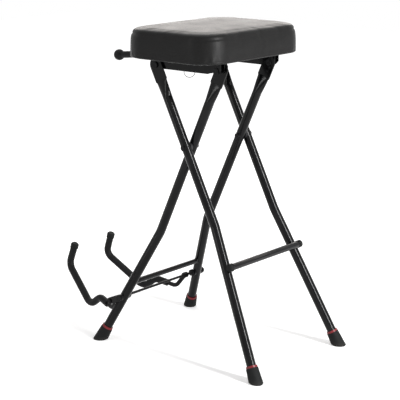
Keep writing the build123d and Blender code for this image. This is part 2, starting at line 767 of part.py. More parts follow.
# Cradle axle, with a cap pressed on each end outside its bracket. The brackets
# stand clear of the splayed legs by the rise of the saddles between them.
leg_splay = (inner_foot_spread - inner_plane) / inner_bend_height
leg_at_bolt = splayed_x(inner_leg_sizes, bracket_bolt_height)
saddle_reach = tube_radius * hypot(1, leg_splay) + bracket_saddle_diameter / 2 * leg_splay + bracket_saddle_rise
bracket_face = leg_at_bolt + saddle_reach
axle_cap_start = bracket_face + bracket_thickness + side_gap
axle_cap_end = axle_cap_start + axle_cap_height
axle_end = axle_cap_start + axle_cap_height / 2
with BuildPart() as cradle_axle:
    with BuildSketch(Plane.YZ):
        with Locations((axle_y, axle_height)):
            Circle(axle_diameter / 2)
    extrude(amount=axle_end, both=True)
save(cradle_axle.part, "cradle_axle")

axle_caps = []
for side, hand in hands:
    with BuildPart() as axle_cap:
        with BuildSketch(Plane(origin=(side * axle_cap_start, axle_y, axle_height), z_dir=(side, 0, 0))):
            Circle(axle_cap_diameter / 2)
        extrude(amount=axle_cap_height)
        chamfer(edges().sort_by(Axis.X)[-1 if side > 0 else 0], axle_cap_height / 3)
        with BuildSketch(Plane(origin=(side * axle_cap_start, axle_y, axle_height), z_dir=(side, 0, 0))):
            Circle(axle_diameter / 2)
        extrude(amount=axle_cap_height / 2, mode=Mode.SUBTRACT)
    axle_caps.append(axle_cap.part)
save(Compound(children=axle_caps), "axle_caps")

# Cradle arms: each a bent steel rod, welded to the axle by its pierced end, that
# dips behind its leg and then runs back in a thick rubber sleeve with a capped tip.
for side, hand in hands:
    root = Vector(side * arm_root_x, axle_y, axle_height)
    dip = Vector(side * dip_x, axle_y + dip_reach, axle_height + dip_drop)
    hump = Vector(side * hump_x, axle_y + hump_reach, axle_height + hump_drop)
    trough = Vector(side * trough_x, axle_y + trough_reach, axle_height + trough_drop)
    elbow = Vector(side * elbow_x, axle_y + elbow_reach, axle_height + elbow_rise)
    tip = Vector(side * tip_x, axle_y + tip_reach, axle_height + tip_rise)
    away = (dip - root).normalized()
    climb = (hump - dip).normalized()
    last = (tip - elbow).normalized()
    sleeve_root = dip + climb * arm_sleeve_start
    rod_tip = tip - last * arm_cap_end
    bend_radii = [dip_bend_radius, arm_bend_radius, arm_bend_radius, arm_bend_radius]
    with BuildPart() as arm:
        with BuildSketch(Plane(origin=root, x_dir=(0, 1, 0), z_dir=(1, 0, 0))):
            Circle(arm_eye_diameter / 2)
        extrude(amount=arm_eye_width / 2, both=True)
        with BuildLine():
            FilletPolyline(root, dip, hump, trough, elbow, rod_tip, radius=bend_radii)
        with BuildSketch(Plane(origin=root, z_dir=away)):
            Circle(arm_rod_diameter / 2)
        sweep()
        with BuildSketch(Plane(origin=root, x_dir=(0, 1, 0), z_dir=(1, 0, 0))):
            Circle(axle_diameter / 2)
        extrude(amount=arm_eye_width, both=True, mode=Mode.SUBTRACT)
    save(arm.part, "cradle_arm_" + hand)
    with BuildPart() as arm_sleeve:
        with BuildLine():
            FilletPolyline(sleeve_root, hump, trough, elbow, rod_tip, radius=arm_bend_radius)
        with BuildSketch(Plane(origin=sleeve_root, z_dir=climb)):
            Circle(arm_sleeve_diameter / 2)
            Circle(arm_rod_diameter / 2 + running_fit, mode=Mode.SUBTRACT)
        sweep()
    save(arm_sleeve.part, "arm_sleeve_" + hand)
    with BuildPart() as arm_cap:
        with BuildSketch(Plane(origin=tip, z_dir=-last)):
            Circle(arm_cap_diameter / 2)
        extrude(amount=arm_cap_length)
        chamfer(edges().sort_by(Axis(tip, last))[-1], arm_cap_chamfer)
        with BuildSketch(Plane(origin=rod_tip, z_dir=-last)):
            Circle(arm_sleeve_diameter / 2 + running_fit)
        extrude(amount=arm_cap_length, mode=Mode.SUBTRACT)
    save(arm_cap.part, "arm_cap_" + hand)

# Brackets: a link outside each inner leg, from the bolt through the leg to the axle
link_length = hypot(axle_set_back, bracket_bolt_height - axle_height)
link_angle = degrees(atan2(axle_height - bracket_bolt_height, axle_set_back))
link_middle = (bracket_bolt_y + axle_set_back / 2, (bracket_bolt_height + axle_height) / 2)
brackets, bracket_bolts, bracket_nuts, bracket_saddles = [], [], [], []
for side, hand in hands:
    core = leg_core(side, inner_leg_sizes, True)
    with BuildPart() as bracket:
        with BuildSketch(Plane.YZ.offset(side * bracket_face)):
            with Locations(link_middle):
                SlotCenterToCenter(link_length, bracket_width, rotation=link_angle)
            with Locations((axle_y, axle_height)):
                Circle(axle_diameter / 2 + running_fit, mode=Mode.SUBTRACT)
            with Locations((bracket_bolt_y, bracket_bolt_height)):
                Circle(bracket_bolt_diameter / 2 + running_fit, mode=Mode.SUBTRACT)
        extrude(amount=side * bracket_thickness)
    brackets.append(bracket.part)
    nut_end = leg_at_bolt - saddle_reach
    nut_start = nut_end - bracket_nut_height
    loose_bore = bracket_bolt_diameter + 2 * running_fit
    saddle = [(nut_end, bracket_face, bracket_saddle_diameter)]
    loose = turned(side, bracket_bolt_y, bracket_bolt_height, saddle, loose_bore)
    bracket_saddles.append(cope(loose, core))
    head_start = bracket_face + bracket_thickness
    steps = [
        (nut_start - bracket_bolt_end, head_start + bracket_head_height / 2, bracket_bolt_diameter),
        (head_start, head_start + bracket_head_height, bracket_head_diameter),
    ]
    bracket_bolts.append(turned(side, bracket_bolt_y, bracket_bolt_height, steps))
    with BuildPart() as nut:
        nut_plane = Plane(origin=(side * nut_start, bracket_bolt_y, bracket_bolt_height), z_dir=(side, 0, 0))
        with BuildSketch(nut_plane):
            RegularPolygon(bracket_nut_across / 2, 6, major_radius=False)
            Circle(bracket_bolt_diameter / 2, mode=Mode.SUBTRACT)
        extrude(amount=bracket_nut_height)
    bracket_nuts.append(nut.part)
save(Compound(children=brackets), "cradle_brackets")
save(Compound(children=bracket_saddles), "bracket_saddles")
save(Compound(children=bracket_bolts), "bracket_bolts")
save(Compound(children=bracket_nuts), "bracket_nuts")
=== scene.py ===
import bmesh
import bpy
import json
import math
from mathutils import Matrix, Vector, noise


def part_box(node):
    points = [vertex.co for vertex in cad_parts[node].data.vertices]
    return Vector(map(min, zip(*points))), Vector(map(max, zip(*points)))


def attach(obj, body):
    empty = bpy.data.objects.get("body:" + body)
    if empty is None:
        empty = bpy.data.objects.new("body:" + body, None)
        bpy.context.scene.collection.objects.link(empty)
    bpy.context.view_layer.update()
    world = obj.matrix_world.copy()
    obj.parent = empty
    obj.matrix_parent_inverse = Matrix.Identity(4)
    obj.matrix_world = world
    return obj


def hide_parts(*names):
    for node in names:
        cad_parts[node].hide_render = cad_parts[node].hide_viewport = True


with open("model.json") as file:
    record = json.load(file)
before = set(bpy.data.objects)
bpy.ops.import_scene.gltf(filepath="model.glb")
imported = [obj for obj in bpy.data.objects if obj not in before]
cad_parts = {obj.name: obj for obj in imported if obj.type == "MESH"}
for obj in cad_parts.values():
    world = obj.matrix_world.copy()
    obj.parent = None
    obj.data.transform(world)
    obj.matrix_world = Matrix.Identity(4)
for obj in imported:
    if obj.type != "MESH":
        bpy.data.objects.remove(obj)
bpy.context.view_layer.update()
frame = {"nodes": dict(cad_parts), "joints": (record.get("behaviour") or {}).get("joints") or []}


# The view: the photograph's camera stands in front of the stool's left side,
# a little above the seat, and looks down on it.
camera_place = Vector((-2.4278, -1.9549, 1.1086))
camera_heading = math.radians(39.586)
camera_pitch = math.radians(-13.591)
camera_lens_mm = 120.7
film_width_mm = 36
sight_limit = 40

camera_data = bpy.data.cameras.new("photo_camera")
camera_data.sensor_fit = "HORIZONTAL"
camera_data.sensor_width = film_width_mm
camera_data.lens = camera_lens_mm
camera_data.clip_end = sight_limit
camera = bpy.data.objects.new("photo_camera", camera_data)
camera.location = camera_place
sight = Vector((
    math.cos(camera_heading) * math.cos(camera_pitch),
    math.sin(camera_heading) * math.cos(camera_pitch),
    math.sin(camera_pitch),
))
camera.rotation_euler = sight.to_track_quat("-Z", "Y").to_euler()
bpy.context.scene.collection.objects.link(camera)
bpy.context.scene.camera = camera
bpy.context.scene.view_settings.view_transform = "Standard"


# The light: a strip on either side of the camera, which gives the gloss paint its
# long highlights, and soft boxes behind and above, in a pale studio. The camera
# and the reflections see white round the stool.
stool_middle = (0, 0, 0.45)
seat_middle = (0, 0, 0.75)
strip = (0.3, 2.0)
warm_white = (1, 0.94, 0.89)


def hang_soft_box(name, place, aim, size, power, tint=(1, 1, 1)):
    """Hangs a square or long lamp that faces a point of the stool."""
    lamp = bpy.data.lights.new(name, "AREA")
    lamp.color = tint
    lamp.shape = "RECTANGLE"
    lamp.size, lamp.size_y = size
    lamp.energy = power
    box = bpy.data.objects.new(name, lamp)
    box.location = place
    box.rotation_euler = (Vector(aim) - Vector(place)).to_track_quat("-Z", "Y").to_euler()
    bpy.context.scene.collection.objects.link(box)


hang_soft_box("soft_box_left", (-2.4, 0.9, 1.3), stool_middle, strip, power=15)
hang_soft_box("soft_box_right", (-0.1, -2.65, 1.3), stool_middle, strip, power=125)
hang_soft_box("soft_box_behind", (2.1, 1.75, 1.55), seat_middle, (1.8, 1.0), power=19, tint=warm_white)
hang_soft_box("soft_box_above", (0.4, 0.6, 2.9), stool_middle, (1.6, 1.6), power=15)


def add_math(tree, operation, first, second):
    """Works out one number from two terms, each a number or a socket."""
    worked = tree.nodes.new("ShaderNodeMath")
    worked.operation = operation
    for index, term in enumerate((first, second)):
        if isinstance(term, (int, float)):
            worked.inputs[index].default_value = term
        else:
            tree.links.new(term, worked.inputs[index])
    return worked.outputs["Value"]


def seen_share(tree):
    """Is 1 for what the camera sees itself, in a reflection or through glass, and else 0."""
    ray = tree.nodes.new("ShaderNodeLightPath").outputs
    straight_or_mirrored = add_math(tree, "MAXIMUM", ray["Is Camera Ray"], ray["Is Glossy Ray"])
    return add_math(tree, "MAXIMUM", straight_or_mirrored, ray["Is Transmission Ray"])


studio = bpy.data.worlds.new("studio")
bpy.context.scene.world = studio
studio.use_nodes = True
studio_tree = studio.node_tree
studio_tree.nodes.clear()
lighting_air = {"tone": 0.9, "strength": 0.36}
seen_air = {"tone": 1.0, "strength": 1.0}
airs = []
for air_sizes in (lighting_air, seen_air):
    air = studio_tree.nodes.new("ShaderNodeBackground")
    air.inputs["Color"].default_value = (air_sizes["tone"], air_sizes["tone"], air_sizes["tone"], 1)
    air.inputs["Strength"].default_value = air_sizes["strength"]
    airs.append(air.outputs["Background"])
pick_air = studio_tree.nodes.new("ShaderNodeMixShader")
studio_out = studio_tree.nodes.new("ShaderNodeOutputWorld")
studio_tree.links.new(seen_share(studio_tree), pick_air.inputs["Fac"])
studio_tree.links.new(airs[0], pick_air.inputs[1])
studio_tree.links.new(airs[1], pick_air.inputs[2])
studio_tree.links.new(pick_air.outputs["Shader"], studio_out.inputs["Surface"])


# The floor: a wide sheet of white paper. It glows white for the camera, and less
# so near the stool, where it keeps the stool's shadow.
floor_half = 6.0
glow_near, glow_far = 0.36, 0.8
shadow_reach, white_reach = 0.45, 1.6


def add_range(tree, value, low, high, to_low, to_high):
    """Maps a value's range low to high onto another, clamped. The ends may be sockets."""
    mapped = tree.nodes.new("ShaderNodeMapRange")
    tree.links.new(value, mapped.inputs["Value"])
    for label, end in (("From Min", low), ("From Max", high), ("To Min", to_low), ("To Max", to_high)):
        if isinstance(end, (int, float)):
            mapped.inputs[label].default_value = end
        else:
            tree.links.new(end, mapped.inputs[label])
    return mapped.outputs["Result"]


floor_mesh = bpy.data.meshes.new("floor")
floor_signs = ((-1, -1), (1, -1), (1, 1), (-1, 1))
floor_mesh.from_pydata([(x * floor_half, y * floor_half, 0) for x, y in floor_signs], [], [(0, 1, 2, 3)])
floor = bpy.data.objects.new("floor", floor_mesh)
bpy.context.scene.collection.objects.link(floor)
floor_paper = bpy.data.materials.new("floor_paper")
floor_paper.use_nodes = True
paper_tree = floor_paper.node_tree
paper = paper_tree.nodes["Principled BSDF"]
paper.inputs["Base Color"].default_value = (0.92, 0.92, 0.92, 1)
paper.inputs["Roughness"].default_value = 0.9
paper.inputs["Specular IOR Level"].default_value = 0.1
paper.inputs["Emission Color"].default_value = (1, 1, 1, 1)
paper_reach = paper_tree.nodes.new("ShaderNodeVectorMath")
paper_reach.operation = "LENGTH"
paper_tree.links.new(paper_tree.nodes.new("ShaderNodeTexCoord").outputs["Object"], paper_reach.inputs[0])
paper_white = add_range(
    paper_tree, paper_reach.outputs["Value"], shadow_reach, white_reach, glow_near, glow_far,
)
paper_glow = add_math(paper_tree, "MULTIPLY", seen_share(paper_tree), paper_white)
paper_tree.links.new(paper_glow, paper.inputs["Emission Strength"])
floor_mesh.materials.append(floor_paper)


# Leg tubes, crossbar, seat rails and cradle brackets: steel under gloss black
# enamel, baked on. It has a faint orange peel, soft cloudy patches in its shine
# and a few fine wipe marks along the tubes.
def open_group(name, sizes, colours):
    """Starts a shader node group with named sizes and colours, on the object's own coordinates."""
    group = bpy.data.node_groups.new(name, "ShaderNodeTree")
    for label, value in sizes.items():
        size = group.interface.new_socket(label, in_out="INPUT", socket_type="NodeSocketFloat")
        size.default_value = value
    for label, value in colours.items():
        colour = group.interface.new_socket(label, in_out="INPUT", socket_type="NodeSocketColor")
        colour.default_value = (*value, 1)
    place = group.nodes.new("ShaderNodeTexCoord").outputs["Object"]
    return group, group.nodes.new("NodeGroupInput").outputs, place


def close_group(group, colour, roughness, height):
    """Ends a shader node group with the three things that a finish takes from it."""
    group.interface.new_socket("Color", in_out="OUTPUT", socket_type="NodeSocketColor")
    group.interface.new_socket("Roughness", in_out="OUTPUT", socket_type="NodeSocketFloat")
    group.interface.new_socket("Height", in_out="OUTPUT", socket_type="NodeSocketFloat")
    result = group.nodes.new("NodeGroupOutput").inputs
    group.links.new(colour, result["Color"])
    group.links.new(roughness, result["Roughness"])
    group.links.new(height, result["Height"])


def add_noise(group, place, scale, detail=2.0, stretch=None):
    """Noise, drawn out along one way where stretch is given. The scale may be a socket."""
    if stretch:
        drawn = group.nodes.new("ShaderNodeMapping")
        drawn.inputs["Scale"].default_value = stretch
        group.links.new(place, drawn.inputs["Vector"])
        place = drawn.outputs["Vector"]
    cloud = group.nodes.new("ShaderNodeTexNoise")
    cloud.inputs["Detail"].default_value = detail
    group.links.new(place, cloud.inputs["Vector"])
    if isinstance(scale, (int, float)):
        cloud.inputs["Scale"].default_value = scale
    else:
        group.links.new(scale, cloud.inputs["Scale"])
    return cloud.outputs["Fac"]


def add_blend(group, share, first, second):
    """Colour between two, by a share."""
    blend = group.nodes.new("ShaderNodeMix")
    blend.data_type = "RGBA"
    group.links.new(share, blend.inputs["Factor"])
    group.links.new(first, blend.inputs["A"])
    group.links.new(second, blend.inputs["B"])
    return blend.outputs["Result"]


def finish_of(name, group, plain, sizes=None, colours=None, bump=0.0003, strength=0.4):
    """Material with one Principled shader: plain numbers on its own sockets, the rest from a group."""
    finish = bpy.data.materials.new(name)
    finish.use_nodes = True
    nodes, links = finish.node_tree.nodes, finish.node_tree.links
    shader = nodes["Principled BSDF"]
    for label, value in plain.items():
        shader.inputs[label].default_value = value
    effect = nodes.new("ShaderNodeGroup")
    effect.node_tree = group
    for label, value in (sizes or {}).items():
        effect.inputs[label].default_value = value
    for label, value in (colours or {}).items():
        effect.inputs[label].default_value = (*value, 1)
    relief = nodes.new("ShaderNodeBump")
    relief.inputs["Distance"].default_value = bump
    relief.inputs["Strength"].default_value = strength
    links.new(effect.outputs["Color"], shader.inputs["Base Color"])
    links.new(effect.outputs["Roughness"], shader.inputs["Roughness"])
    links.new(effect.outputs["Height"], relief.inputs["Height"])
    links.new(relief.outputs["Normal"], shader.inputs["Normal"])
    return finish


def dress(finish, *node_names):
    """Gives CAD nodes a finish."""
    for node_name in node_names:
        solid = frame["nodes"][node_name]
        solid.data.materials.clear()
        solid.data.materials.append(finish)


enamel_group, enamel_in, enamel_place = open_group(
    "baked_enamel",
    {"Peel scale": 420, "Cloud scale": 26, "Shiny": 0.08, "Dull": 0.18},
    {"Deep": (0.002, 0.002, 0.0023), "Worn": (0.006, 0.006, 0.0065)},
)
enamel_cloud = add_noise(enamel_group, enamel_place, enamel_in["Cloud scale"], detail=4)
enamel_patch = add_range(enamel_group, enamel_cloud, 0.45, 0.8, 0, 1)
enamel_dull = add_range(enamel_group, enamel_cloud, 0.35, 0.7, enamel_in["Shiny"], enamel_in["Dull"])
wipe_streak = add_noise(enamel_group, enamel_place, 900, detail=1, stretch=(1, 0.05, 0.05))
wipe_mark = add_range(enamel_group, wipe_streak, 0.66, 0.74, 0, 0.12)
close_group(
    enamel_group,
    colour=add_blend(enamel_group, enamel_patch, enamel_in["Deep"], enamel_in["Worn"]),
    roughness=add_math(enamel_group, "ADD", enamel_dull, wipe_mark),
    height=add_noise(enamel_group, enamel_place, enamel_in["Peel scale"]),
)
gloss_black = finish_of(
    "gloss_black_enamel", enamel_group, {"Specular IOR Level": 0.15}, bump=0.00003, strength=0.3,
)
dress(
    gloss_black,
    "outer_leg_left", "outer_leg_right", "inner_leg_left", "inner_leg_right",
    "crossbar_tube", "seat_rail_left", "seat_rail_right", "cradle_brackets",
)


# Footrest: the same enamelled tube, on which shoes have rubbed the top dull and
# a little grey.
scuff_group, scuff_in, scuff_place = open_group(
    "shoe_scuffs",
    {"Scuff scale": 55, "Shiny": 0.18, "Rubbed": 0.5},
    {"Deep": (0.003, 0.003, 0.0035), "Grey": (0.035, 0.034, 0.033)},
)
scuff_face = scuff_group.nodes.new("ShaderNodeSeparateXYZ")
scuff_group.links.new(
    scuff_group.nodes.new("ShaderNodeNewGeometry").outputs["Normal"], scuff_face.inputs["Vector"],
)
scuff_top = add_range(scuff_group, scuff_face.outputs["Z"], 0.35, 0.95, 0, 1)
along_footrest = (0.35, 1.6, 1.6)
scuff_streak = add_noise(scuff_group, scuff_place, scuff_in["Scuff scale"], detail=6, stretch=along_footrest)
scuff_rub = add_range(scuff_group, scuff_streak, 0.42, 0.68, 0, 1)
scuff_mark = add_math(scuff_group, "MULTIPLY", scuff_rub, scuff_top)
close_group(
    scuff_group,
    colour=add_blend(scuff_group, scuff_mark, scuff_in["Deep"], scuff_in["Grey"]),
    roughness=add_range(scuff_group, scuff_mark, 0, 1, scuff_in["Shiny"], scuff_in["Rubbed"]),
    height=add_noise(scuff_group, scuff_place, 520),
)
rubbed_black = finish_of(
    "rubbed_black_enamel", scuff_group, {"Specular IOR Level": 0.2}, bump=0.00008, strength=0.3,
)
dress(rubbed_black, "footrest_tube")


# Weld beads: a rippled fillet round each joint of the footrest with the outer
# legs and of the crossbar with the inner legs, enamelled with the frame.
tube_radius = 0.0111
pivot_height = next(joint["pos_m"][2] for joint in frame["joints"] if joint["name"] == "frame_fold")
outer_line = {"plane_x": 0.1136, "slope": 0.49511, "bend_height": 0.3267, "foot_spread": 0.1656}
inner_line = {"plane_x": 0.0888, "slope": -0.45762, "bend_height": 0.2775, "foot_spread": 0.1710}
bead_radius = 0.0016
bead_sides = 8
seam_steps = 72


def open_tree(name, inputs):
    """Starts a geometry node tree from its inputs' names, kinds and usual values."""
    tree = bpy.data.node_groups.new(name, "GeometryNodeTree")
    for label, kind, value in inputs:
        socket = tree.interface.new_socket(label, in_out="INPUT", socket_type="NodeSocket" + kind)
        if value is not None:
            socket.default_value = value
    tree.interface.new_socket("Geometry", in_out="OUTPUT", socket_type="NodeSocketGeometry")
    return tree, tree.nodes.new("NodeGroupInput").outputs, tree.nodes.new("NodeGroupOutput").inputs


def bead_tree():
    """Geometry nodes that lay a rippled bead along a closed path of edges."""
    tree, given, result = open_tree("weld_bead", (
        ("Path", "Geometry", None),
        ("Bead radius", "Float", bead_radius),
        ("Ripple", "Float", 0.0005),
        ("Ripple scale", "Float", 420.0),
        ("Finish", "Material", None),
    ))
    curve = tree.nodes.new("GeometryNodeMeshToCurve")
    ring = tree.nodes.new("GeometryNodeCurvePrimitiveCircle")
    ring.inputs["Resolution"].default_value = bead_sides
    sweep = tree.nodes.new("GeometryNodeCurveToMesh")
    ripple = tree.nodes.new("ShaderNodeTexNoise")
    face = tree.nodes.new("GeometryNodeInputNormal")
    outward = tree.nodes.new("ShaderNodeVectorMath")
    outward.operation = "SCALE"
    shift = tree.nodes.new("GeometryNodeSetPosition")
    smooth = tree.nodes.new("GeometryNodeSetShadeSmooth")
    solid = tree.nodes.new("GeometryNodeRealizeInstances")
    finish = tree.nodes.new("GeometryNodeSetMaterial")
    link = tree.links.new
    link(given["Path"], curve.inputs["Mesh"])
    link(given["Bead radius"], ring.inputs["Radius"])
    link(curve.outputs["Curve"], sweep.inputs["Curve"])
    link(ring.outputs["Curve"], sweep.inputs["Profile Curve"])
    link(given["Ripple scale"], ripple.inputs["Scale"])
    rise = add_math(tree, "MULTIPLY", add_math(tree, "SUBTRACT", ripple.outputs["Fac"], 0.5), given["Ripple"])
    link(face.outputs["Normal"], outward.inputs[0])
    link(rise, outward.inputs["Scale"])
    link(sweep.outputs["Mesh"], shift.inputs["Geometry"])
    link(outward.outputs["Vector"], shift.inputs["Offset"])
    link(shift.outputs["Geometry"], smooth.inputs["Geometry"])
    link(smooth.outputs["Geometry"], solid.inputs["Geometry"])
    link(solid.outputs["Geometry"], finish.inputs["Geometry"])
    link(given["Finish"], finish.inputs["Material"])
    link(finish.outputs["Geometry"], result["Geometry"])
    return tree


def keep_as_mesh(piece):
    """Turns a piece with its modifiers into a plain mesh."""
    bpy.context.view_layer.update()
    made = bpy.data.meshes.new_from_object(piece.evaluated_get(bpy.context.evaluated_depsgraph_get()))
    piece.modifiers.clear()
    piece.data = made


def grow(name, points, edges, tree, values, turns=None):
    """Runs a geometry node tree on points and edges, and keeps the result as a plain mesh."""
    mesh = bpy.data.meshes.new(name)
    mesh.from_pydata(points, edges, [])
    if turns:
        mesh.attributes.new("turn", "FLOAT", "POINT").data.foreach_set("value", turns)
    piece = bpy.data.objects.new(name, mesh)
    bpy.context.scene.collection.objects.link(piece)
    maker = piece.modifiers.new("maker", "NODES")
    maker.node_group = tree
    for item in tree.interface.items_tree:
        if item.in_out == "INPUT" and item.name in values:
            maker[item.identifier] = values[item.name]
    keep_as_mesh(piece)
    piece.data.name = name
    return piece


def lower_leg(side, plane_x, slope, bend_height, foot_spread):
    """A point and the direction of a lower leg's centre line."""
    floor_point = Vector((side * foot_spread, -slope * pivot_height, 0))
    knee = Vector((side * plane_x, slope * (bend_height - pivot_height), bend_height))
    return floor_point, (knee - floor_point).normalized()


def joint_seam(leg, bar_y, bar_z, bar_radius):
    """The closed line in which a bar along X meets a leg tube on its inner side."""
    point, way = leg
    seam = []
    for step in range(seam_steps):
        turn = 2 * math.pi * step / seam_steps
        y, z = bar_y + bar_radius * math.cos(turn), bar_z + bar_radius * math.sin(turn)
        start = Vector((0, y, z)) - point
        along = Vector((1, 0, 0)) - way * way.x
        across = start - way * start.dot(way)
        a, b, c = along.length_squared, 2 * along.dot(across), across.length_squared - tube_radius ** 2
        under = math.sqrt(max(0, b * b - 4 * a * c))
        seam.append((min((-b - under) / 2 / a, (-b + under) / 2 / a, key=abs), y, z))
    return seam


def closed_path(first, count):
    """Edges that join a run of points into a loop."""
    return [(first + k, first + (k + 1) % count) for k in range(count)]


weld_tree = bead_tree()
weld_jobs = (
    ("footrest_welds", "outer_frame", outer_line, "footrest_tube"),
    ("crossbar_welds", "inner_frame", inner_line, "crossbar_tube"),
)
for weld_name, body, leg_line, bar_name in weld_jobs:
    points, edges = [], []
    low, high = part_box(bar_name)
    bar_radius = (high.z - low.z) / 2
    for side in (-1, 1):
        leg = lower_leg(side, **leg_line)
        edges += closed_path(len(points), seam_steps)
        points += joint_seam(leg, (low.y + high.y) / 2, (low.z + high.z) / 2, bar_radius)
    welds = grow(weld_name, points, edges, weld_tree, {"Bead radius": bead_radius, "Finish": gloss_black})
    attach(welds, body)


# Feet: black rubber ferrules moulded with a fine matt grain, dusty and worn grey
# near the floor. Caps of the footrest and of the cradle's arms are the same rubber.
rubber_group, rubber_in, rubber_place = open_group(
    "moulded_rubber",
    {"Grain scale": 1300, "Bloom scale": 48, "Dusty height": 0.012, "Smooth": 0.55, "Rough": 0.8},
    {"Black": (0.005, 0.0055, 0.0055), "Bloom": (0.012, 0.0125, 0.0125), "Dust": (0.035, 0.033, 0.029)},
)
rubber_bloom = add_noise(rubber_group, rubber_place, rubber_in["Bloom scale"], detail=5)
rubber_height = rubber_group.nodes.new("ShaderNodeSeparateXYZ")
rubber_group.links.new(rubber_place, rubber_height.inputs["Vector"])
rubber_low = add_range(rubber_group, rubber_height.outputs["Z"], 0, rubber_in["Dusty height"], 0.75, 0)
rubber_dusty = add_math(rubber_group, "MULTIPLY", rubber_low, rubber_bloom)
rubber_patch = add_range(rubber_group, rubber_bloom, 0.35, 0.75, 0, 1)
rubber_tone = add_blend(rubber_group, rubber_patch, rubber_in["Black"], rubber_in["Bloom"])
close_group(
    rubber_group,
    colour=add_blend(rubber_group, rubber_dusty, rubber_tone, rubber_in["Dust"]),
    roughness=add_range(rubber_group, rubber_bloom, 0.3, 0.7, rubber_in["Smooth"], rubber_in["Rough"]),
    height=add_noise(rubber_group, rubber_place, rubber_in["Grain scale"], detail=3),
)
foot_rubber = finish_of(
    "foot_rubber", rubber_group, {"Specular IOR Level": 0.12}, bump=0.00025, strength=0.5,
)
dress(
    foot_rubber,
    "outer_foot_left", "outer_foot_right", "inner_foot_left", "inner_foot_right",
    "footrest_caps", "arm_cap_left", "arm_cap_right",
)


# Coloured bands above the feet: dark red plastic rings with a soft gloss and
# slight streaks from moulding.
plastic_group, plastic_in, plastic_place = open_group(
    "moulded_plastic",
    {"Streak scale": 140, "Gloss": 0.28, "Matt": 0.42},
    {"Dye": (0.12, 0.006, 0.010), "Faded": (0.17, 0.014, 0.018)},
)
streak_scale, upwards = plastic_in["Streak scale"], (1, 1, 0.2)
plastic_streak = add_noise(plastic_group, plastic_place, streak_scale, detail=3, stretch=upwards)
close_group(
    plastic_group,
    colour=add_blend(plastic_group, plastic_streak, plastic_in["Dye"], plastic_in["Faded"]),
    roughness=add_range(plastic_group, plastic_streak, 0.3, 0.7, plastic_in["Gloss"], plastic_in["Matt"]),
    height=add_noise(plastic_group, plastic_place, 700),
)
band_red = finish_of("band_red_plastic", plastic_group, {"Specular IOR Level": 0.3}, bump=0.0001)
dress(band_red, "outer_foot_bands", "inner_foot_bands")


# Spacers of the X pivots and bushes of the seat's hinge: black nylon, turned,
# with a faint waxy sheen.
nylon_black = finish_of(
    "black_nylon", plastic_group, {"Specular IOR Level": 0.2},
    sizes={"Gloss": 0.38, "Matt": 0.55},
    colours={"Dye": (0.01, 0.01, 0.011), "Faded": (0.018, 0.018, 0.019)},
    bump=0.0001,
)
dress(nylon_black, "pivot_spacers", "hinge_bushes")


# Pins, bolts, nuts, caps, washers and the lock: steel with a black oxide finish,
# rubbed through to grey steel in fine patches where tools and washers touch it.
oxide_group, oxide_in, oxide_place = open_group(
    "black_oxide",
    {"Patch scale": 190, "Oiled": 0.3, "Dry": 0.5},
    {"Oxide": (0.004, 0.004, 0.0045), "Steel": (0.03, 0.03, 0.032)},
)
oxide_patch = add_noise(oxide_group, oxide_place, oxide_in["Patch scale"], detail=5)
oxide_worn = add_range(oxide_group, oxide_patch, 0.56, 0.72, 0, 0.8)
close_group(
    oxide_group,
    colour=add_blend(oxide_group, oxide_worn, oxide_in["Oxide"], oxide_in["Steel"]),
    roughness=add_range(oxide_group, oxide_patch, 0.3, 0.7, oxide_in["Oiled"], oxide_in["Dry"]),
    height=add_noise(oxide_group, oxide_place, 900, detail=3),
)
black_steel = finish_of(
    "black_oxide_steel", oxide_group, {"Metallic": 0.4, "Specular IOR Level": 0.15}, bump=0.0001,
)
dress(
    black_steel,
    "pivot_pins", "pivot_caps", "pivot_outer_washers", "pivot_inner_washers",
    "hinge_pins", "hinge_washers", "hook_pins", "hook_washers",
    "bracket_bolts", "bracket_nuts", "bracket_saddles", "axle_caps", "lock_cap", "lock_pin",
)


# Lock spring and pull ring: the spring is drawn steel wire, the ring is bent from
# nickelled wire and hangs from the lock pin. The ring's near-black colour is a
# painted dark reflection, in place of what its bright metal would mirror.
wire_group, wire_in, wire_place = open_group(
    "drawn_wire",
    {"Draw scale": 600, "Bright": 0.14, "Dim": 0.3},
    {"Light": (0.5, 0.5, 0.51), "Dark": (0.28, 0.28, 0.29)},
)
wire_line = add_noise(wire_group, wire_place, wire_in["Draw scale"], detail=4)
close_group(
    wire_group,
    colour=add_blend(wire_group, wire_line, wire_in["Dark"], wire_in["Light"]),
    roughness=add_range(wire_group, wire_line, 0.3, 0.7, wire_in["Bright"], wire_in["Dim"]),
    height=wire_line,
)
spring_wire = finish_of("spring_wire", wire_group, {"Metallic": 1.0}, bump=0.00005)
# Pull ring: painted dark reflection, the metal coloured near-black instead of mirroring the white studio.
ring_wire_painted_dark_reflection = finish_of(
    "ring_wire_with_painted_reflection", wire_group, {"Metallic": 1.0},
    sizes={"Bright": 0.08, "Dim": 0.2},
    colours={"Light": (0.05, 0.05, 0.053), "Dark": (0.02, 0.02, 0.022)},
    bump=0.00003,
)
dress(spring_wire, "lock_spring")
dress(ring_wire_painted_dark_reflection, "pull_ring")


# Neck rest and cradle rods: bent steel rod under satin black paint, with the
# guide that the neck rest slides in.
satin_black = finish_of(
    "satin_black_paint", enamel_group, {"Specular IOR Level": 0.14},
    sizes={"Peel scale": 800, "Shiny": 0.34, "Dull": 0.48},
    colours={"Deep": (0.002, 0.002, 0.0022), "Worn": (0.006, 0.006, 0.0065)},
    bump=0.0001,
)
dress(satin_black, "cradle_axle", "cradle_arm_left", "cradle_arm_right", "neck_yoke", "neck_guide")


